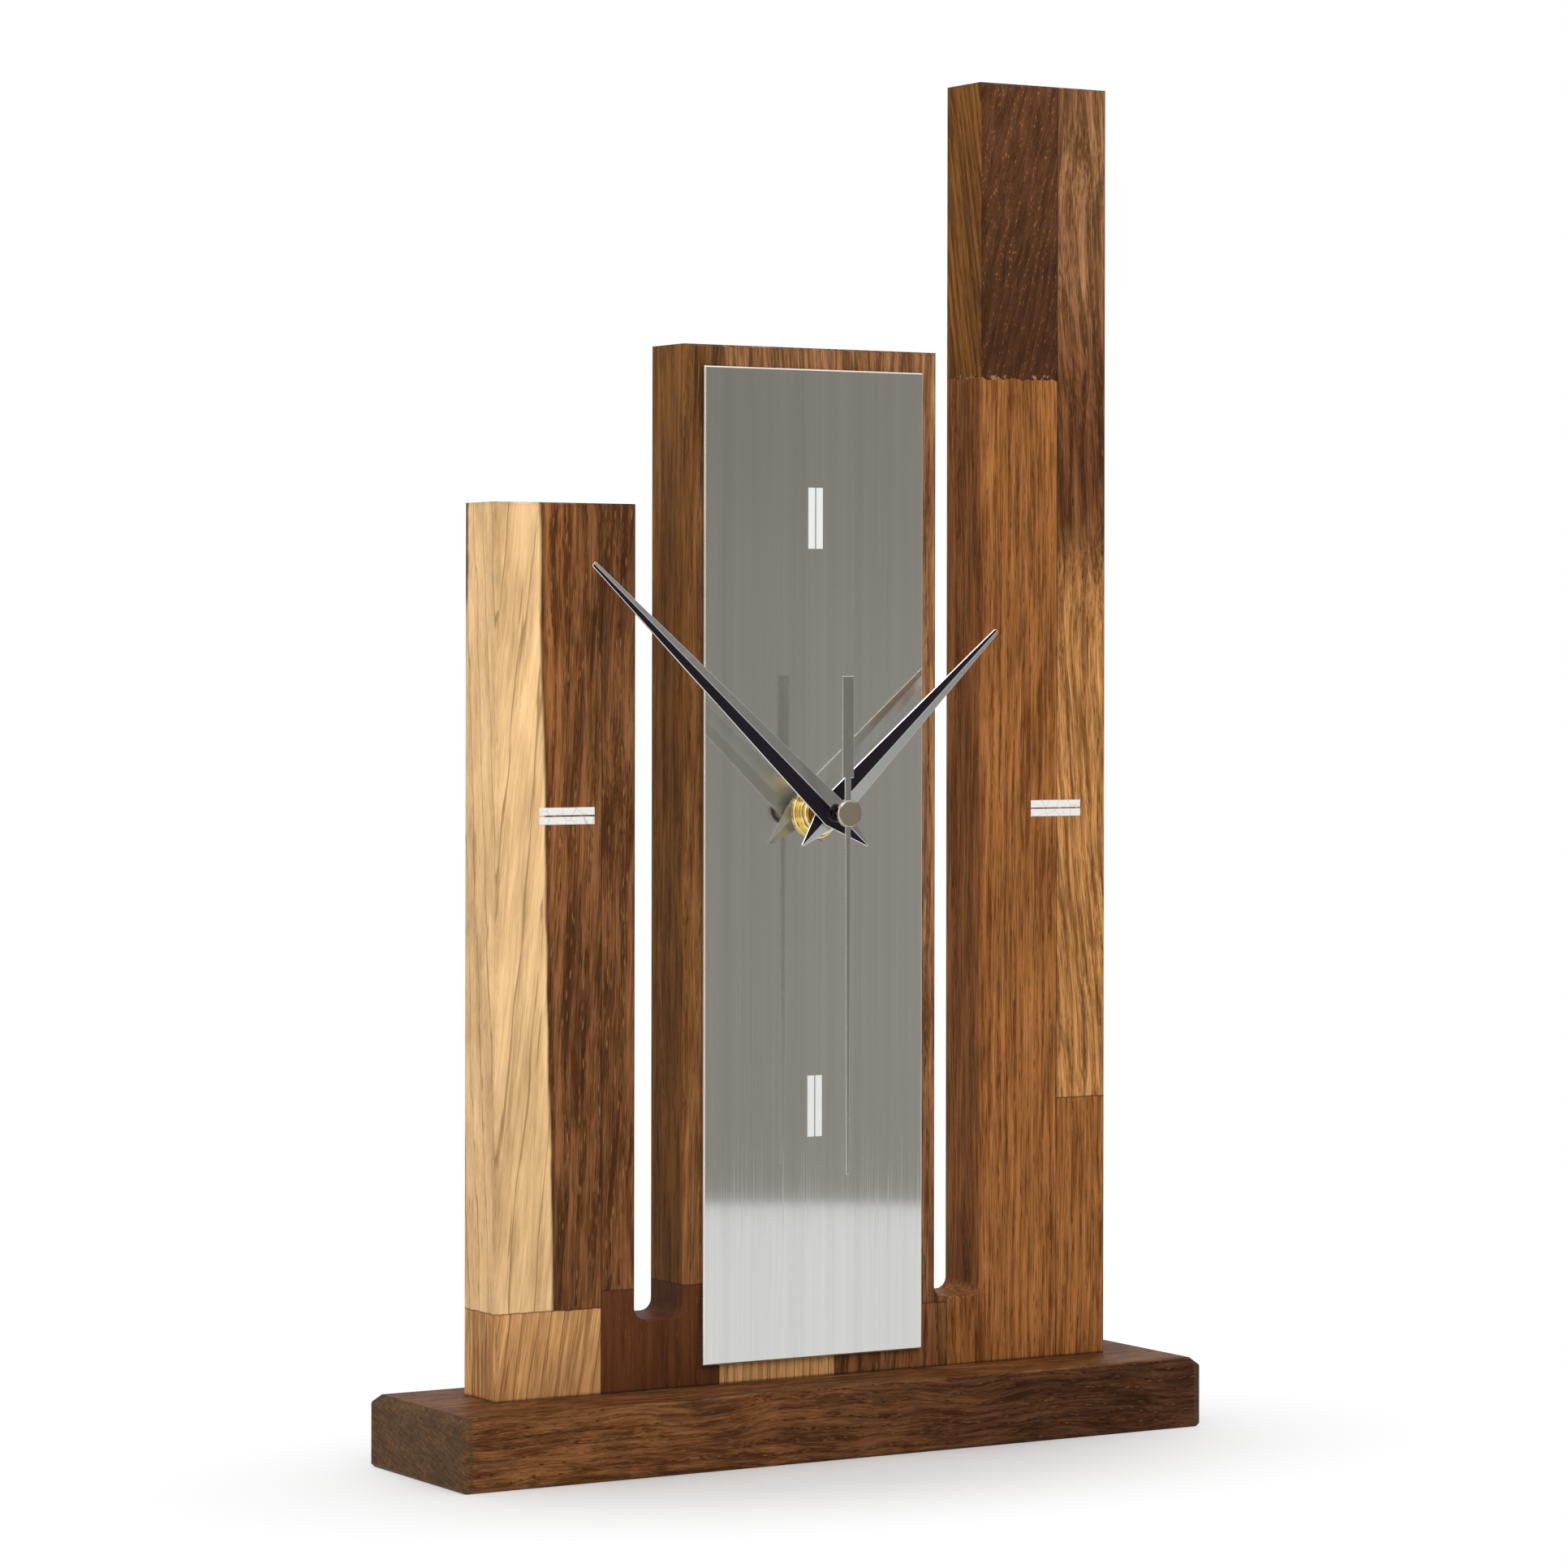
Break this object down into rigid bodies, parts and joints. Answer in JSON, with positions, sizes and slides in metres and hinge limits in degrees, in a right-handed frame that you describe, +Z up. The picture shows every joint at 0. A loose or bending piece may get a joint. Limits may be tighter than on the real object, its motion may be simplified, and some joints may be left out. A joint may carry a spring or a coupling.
{
  "type": "table clock",
  "caption": "Table clock: slotted board of glued oak staves rising in three towers from a chamfered plinth, steel dial plate, folded hands, quartz movement in the back",
  "frame": {"origin": "middle of the plinth's underside", "axes": "+X to the right as the dial is seen, +Y to the back, so the dial looks along -Y, +Z up"},
  "size_m": [0.2164, 0.051, 0.3503],
  "materials": {
    "dark_oak": "oiled, semi-matt",
    "golden_oak": "oiled, semi-matt",
    "pale_oak": "oiled, semi-matt",
    "brushed_steel": "brushed along its length",
    "polished_aluminium": "polished",
    "polished_brass": "polished",
    "turned_brass": "turned",
    "plated_steel": "zinc plated",
    "copper_wire": "enamelled wire",
    "black_plastic": "moulded, fine texture",
    "white_plastic": "moulded",
    "green_laminate": "lacquered",
    "battery_jacket": "printed sleeve, plain",
    "magnet_grey": "sintered",
    "black_rubber": "matt",
    "dark_film": "adhesive film",
    "white_foil": "satin foil"
  },
  "bodies": {
    "clock_frame": {"plinth": "dark_oak", "stave_left_outer": "pale_oak", "stave_left_inner": "dark_oak", "stave_centre_left": "golden_oak", "stave_centre_right": "dark_oak", "stave_right_inner": "golden_oak", "stave_right_outer": "golden_oak", "plinth_screw_far_left": "plated_steel", "plinth_screw_near_left": "plated_steel", "plinth_screw_near_right": "plated_steel", "plinth_screw_far_right": "plated_steel", "dial_film": "dark_film", "dial_plate": "brushed_steel", "marker_twelve_a": "white_foil", "marker_twelve_b": "white_foil", "marker_three_a": "white_foil", "marker_three_b": "white_foil", "marker_six_a": "white_foil", "marker_six_b": "white_foil", "marker_nine_a": "white_foil", "marker_nine_b": "white_foil", "nut_flange": "polished_brass", "centre_nut": "polished_brass", "rubber_washer": "black_rubber", "movement_bush": "turned_brass", "movement_case": "black_plastic", "movement_cover": "black_plastic", "train_bridge": "white_plastic", "stator": "plated_steel", "coil": "copper_wire", "circuit_board": "green_laminate", "crystal": "plated_steel", "contact_negative": "plated_steel", "contact_positive": "plated_steel"},
    "second_hand_arbor": {"second_wheel": "white_plastic", "second_tube": "polished_aluminium", "second_hand": "polished_aluminium", "second_cap": "polished_aluminium"},
    "minute_hand_pipe": {"minute_pipe": "turned_brass", "minute_collet": "turned_brass", "minute_hand": "polished_aluminium"},
    "hour_hand_pipe": {"hour_wheel": "white_plastic", "hour_collet": "turned_brass", "hour_hand": "polished_aluminium"},
    "setting_arbor": {"reverser_wheel": "white_plastic", "setting_knob": "white_plastic"},
    "centre_wheel_body": {"centre_wheel": "white_plastic"},
    "third_wheel_body": {"third_wheel": "white_plastic"},
    "intermediate_wheel_body": {"intermediate_wheel": "white_plastic"},
    "rotor_body": {"rotor": "magnet_grey"},
    "battery_body": {"battery": "battery_jacket"}
  },
  "joints": [
    {"name": "second_hand_turn", "type": "hinge", "parent": "clock_frame", "child": "second_hand_arbor", "pos_m": [0.0016, -0.006, 0.1616], "axis": [0, 1, 0], "continuous": true},
    {"name": "minute_hand_turn", "type": "hinge", "parent": "clock_frame", "child": "minute_hand_pipe", "pos_m": [0.0016, -0.006, 0.1616], "axis": [0, 1, 0], "continuous": true},
    {"name": "hour_hand_turn", "type": "hinge", "parent": "clock_frame", "child": "hour_hand_pipe", "pos_m": [0.0016, -0.006, 0.1616], "axis": [0, 1, 0], "continuous": true},
    {"name": "setting_turn", "type": "hinge", "parent": "clock_frame", "child": "setting_arbor", "pos_m": [0.00924, 0.005, 0.16924], "axis": [0, 1, 0], "continuous": true},
    {"name": "centre_wheel_turn", "type": "hinge", "parent": "clock_frame", "child": "centre_wheel_body", "pos_m": [0.0016, 0.006, 0.1616], "axis": [0, 1, 0], "continuous": true},
    {"name": "third_wheel_turn", "type": "hinge", "parent": "clock_frame", "child": "third_wheel_body", "pos_m": [-0.00825, 0.006, 0.16424], "axis": [0, 1, 0], "continuous": true},
    {"name": "intermediate_wheel_turn", "type": "hinge", "parent": "clock_frame", "child": "intermediate_wheel_body", "pos_m": [0.00019, 0.012, 0.16958], "axis": [0, 1, 0], "continuous": true},
    {"name": "rotor_turn", "type": "hinge", "parent": "clock_frame", "child": "rotor_body", "pos_m": [-0.00635, 0.012, 0.17336], "axis": [0, 1, 0], "continuous": true},
    {"name": "battery_slide", "type": "slide", "parent": "clock_frame", "child": "battery_body", "axis": [0, 1, 0], "range_m": [0, 0.03]}
  ],
  "couplings": [
    {"joint": "rotor_turn", "follows": "second_hand_turn", "ratio": 30},
    {"joint": "intermediate_wheel_turn", "follows": "second_hand_turn", "ratio": -5},
    {"joint": "third_wheel_turn", "follows": "second_hand_turn", "ratio": -0.13333},
    {"joint": "centre_wheel_turn", "follows": "second_hand_turn", "ratio": 0.016667},
    {"joint": "setting_turn", "follows": "minute_hand_turn", "ratio": -0.33333},
    {"joint": "hour_hand_turn", "follows": "minute_hand_turn", "ratio": 0.083333}
  ]
}
